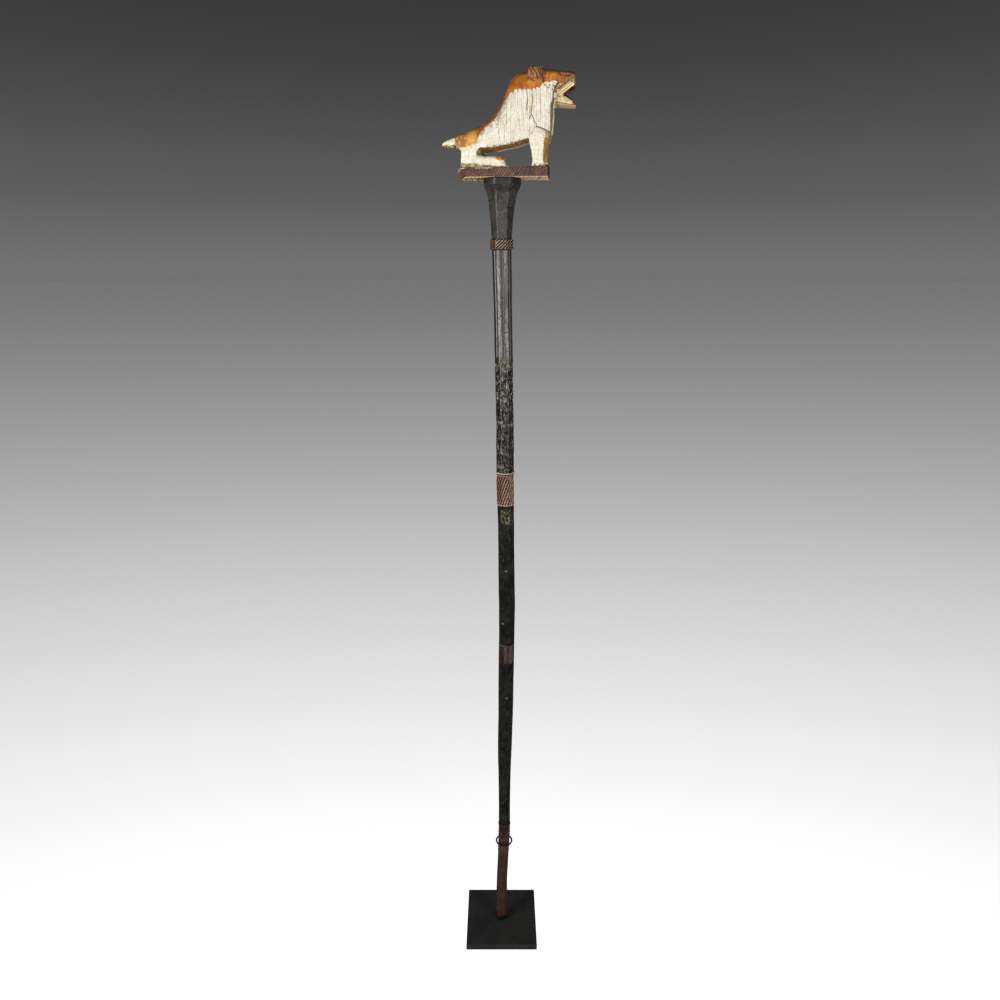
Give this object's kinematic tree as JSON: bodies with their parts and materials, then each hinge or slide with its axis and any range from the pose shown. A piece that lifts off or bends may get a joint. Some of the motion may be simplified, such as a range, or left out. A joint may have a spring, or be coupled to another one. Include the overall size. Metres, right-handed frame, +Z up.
{
  "type": "linguist staff",
  "caption": "Carved wooden linguist staff with a gilded lion finial, a faceted dark shaft with cut bands, held upright by a square steel plate with a rod and ring.",
  "frame": {"origin": "middle of the stand plate's underside, on the floor", "axes": "+Z up along the staff; the lion faces +X, turned 5.5 degrees towards -Y"},
  "size_m": [0.2033, 0.142, 1.5942],
  "materials": {
    "gilded_wood": "aged pale metal leaf and orange lacquer over carved wood",
    "blackened_wood": "blackened, worn and rubbed to a dull polish",
    "black_steel": "satin black"
  },
  "bodies": {
    "root": {"lion_finial": "gilded_wood", "staff_shaft": "blackened_wood", "stand_plate": "black_steel", "stand_rod": "black_steel", "stand_ring": "black_steel"}
  },
  "joints": []
}
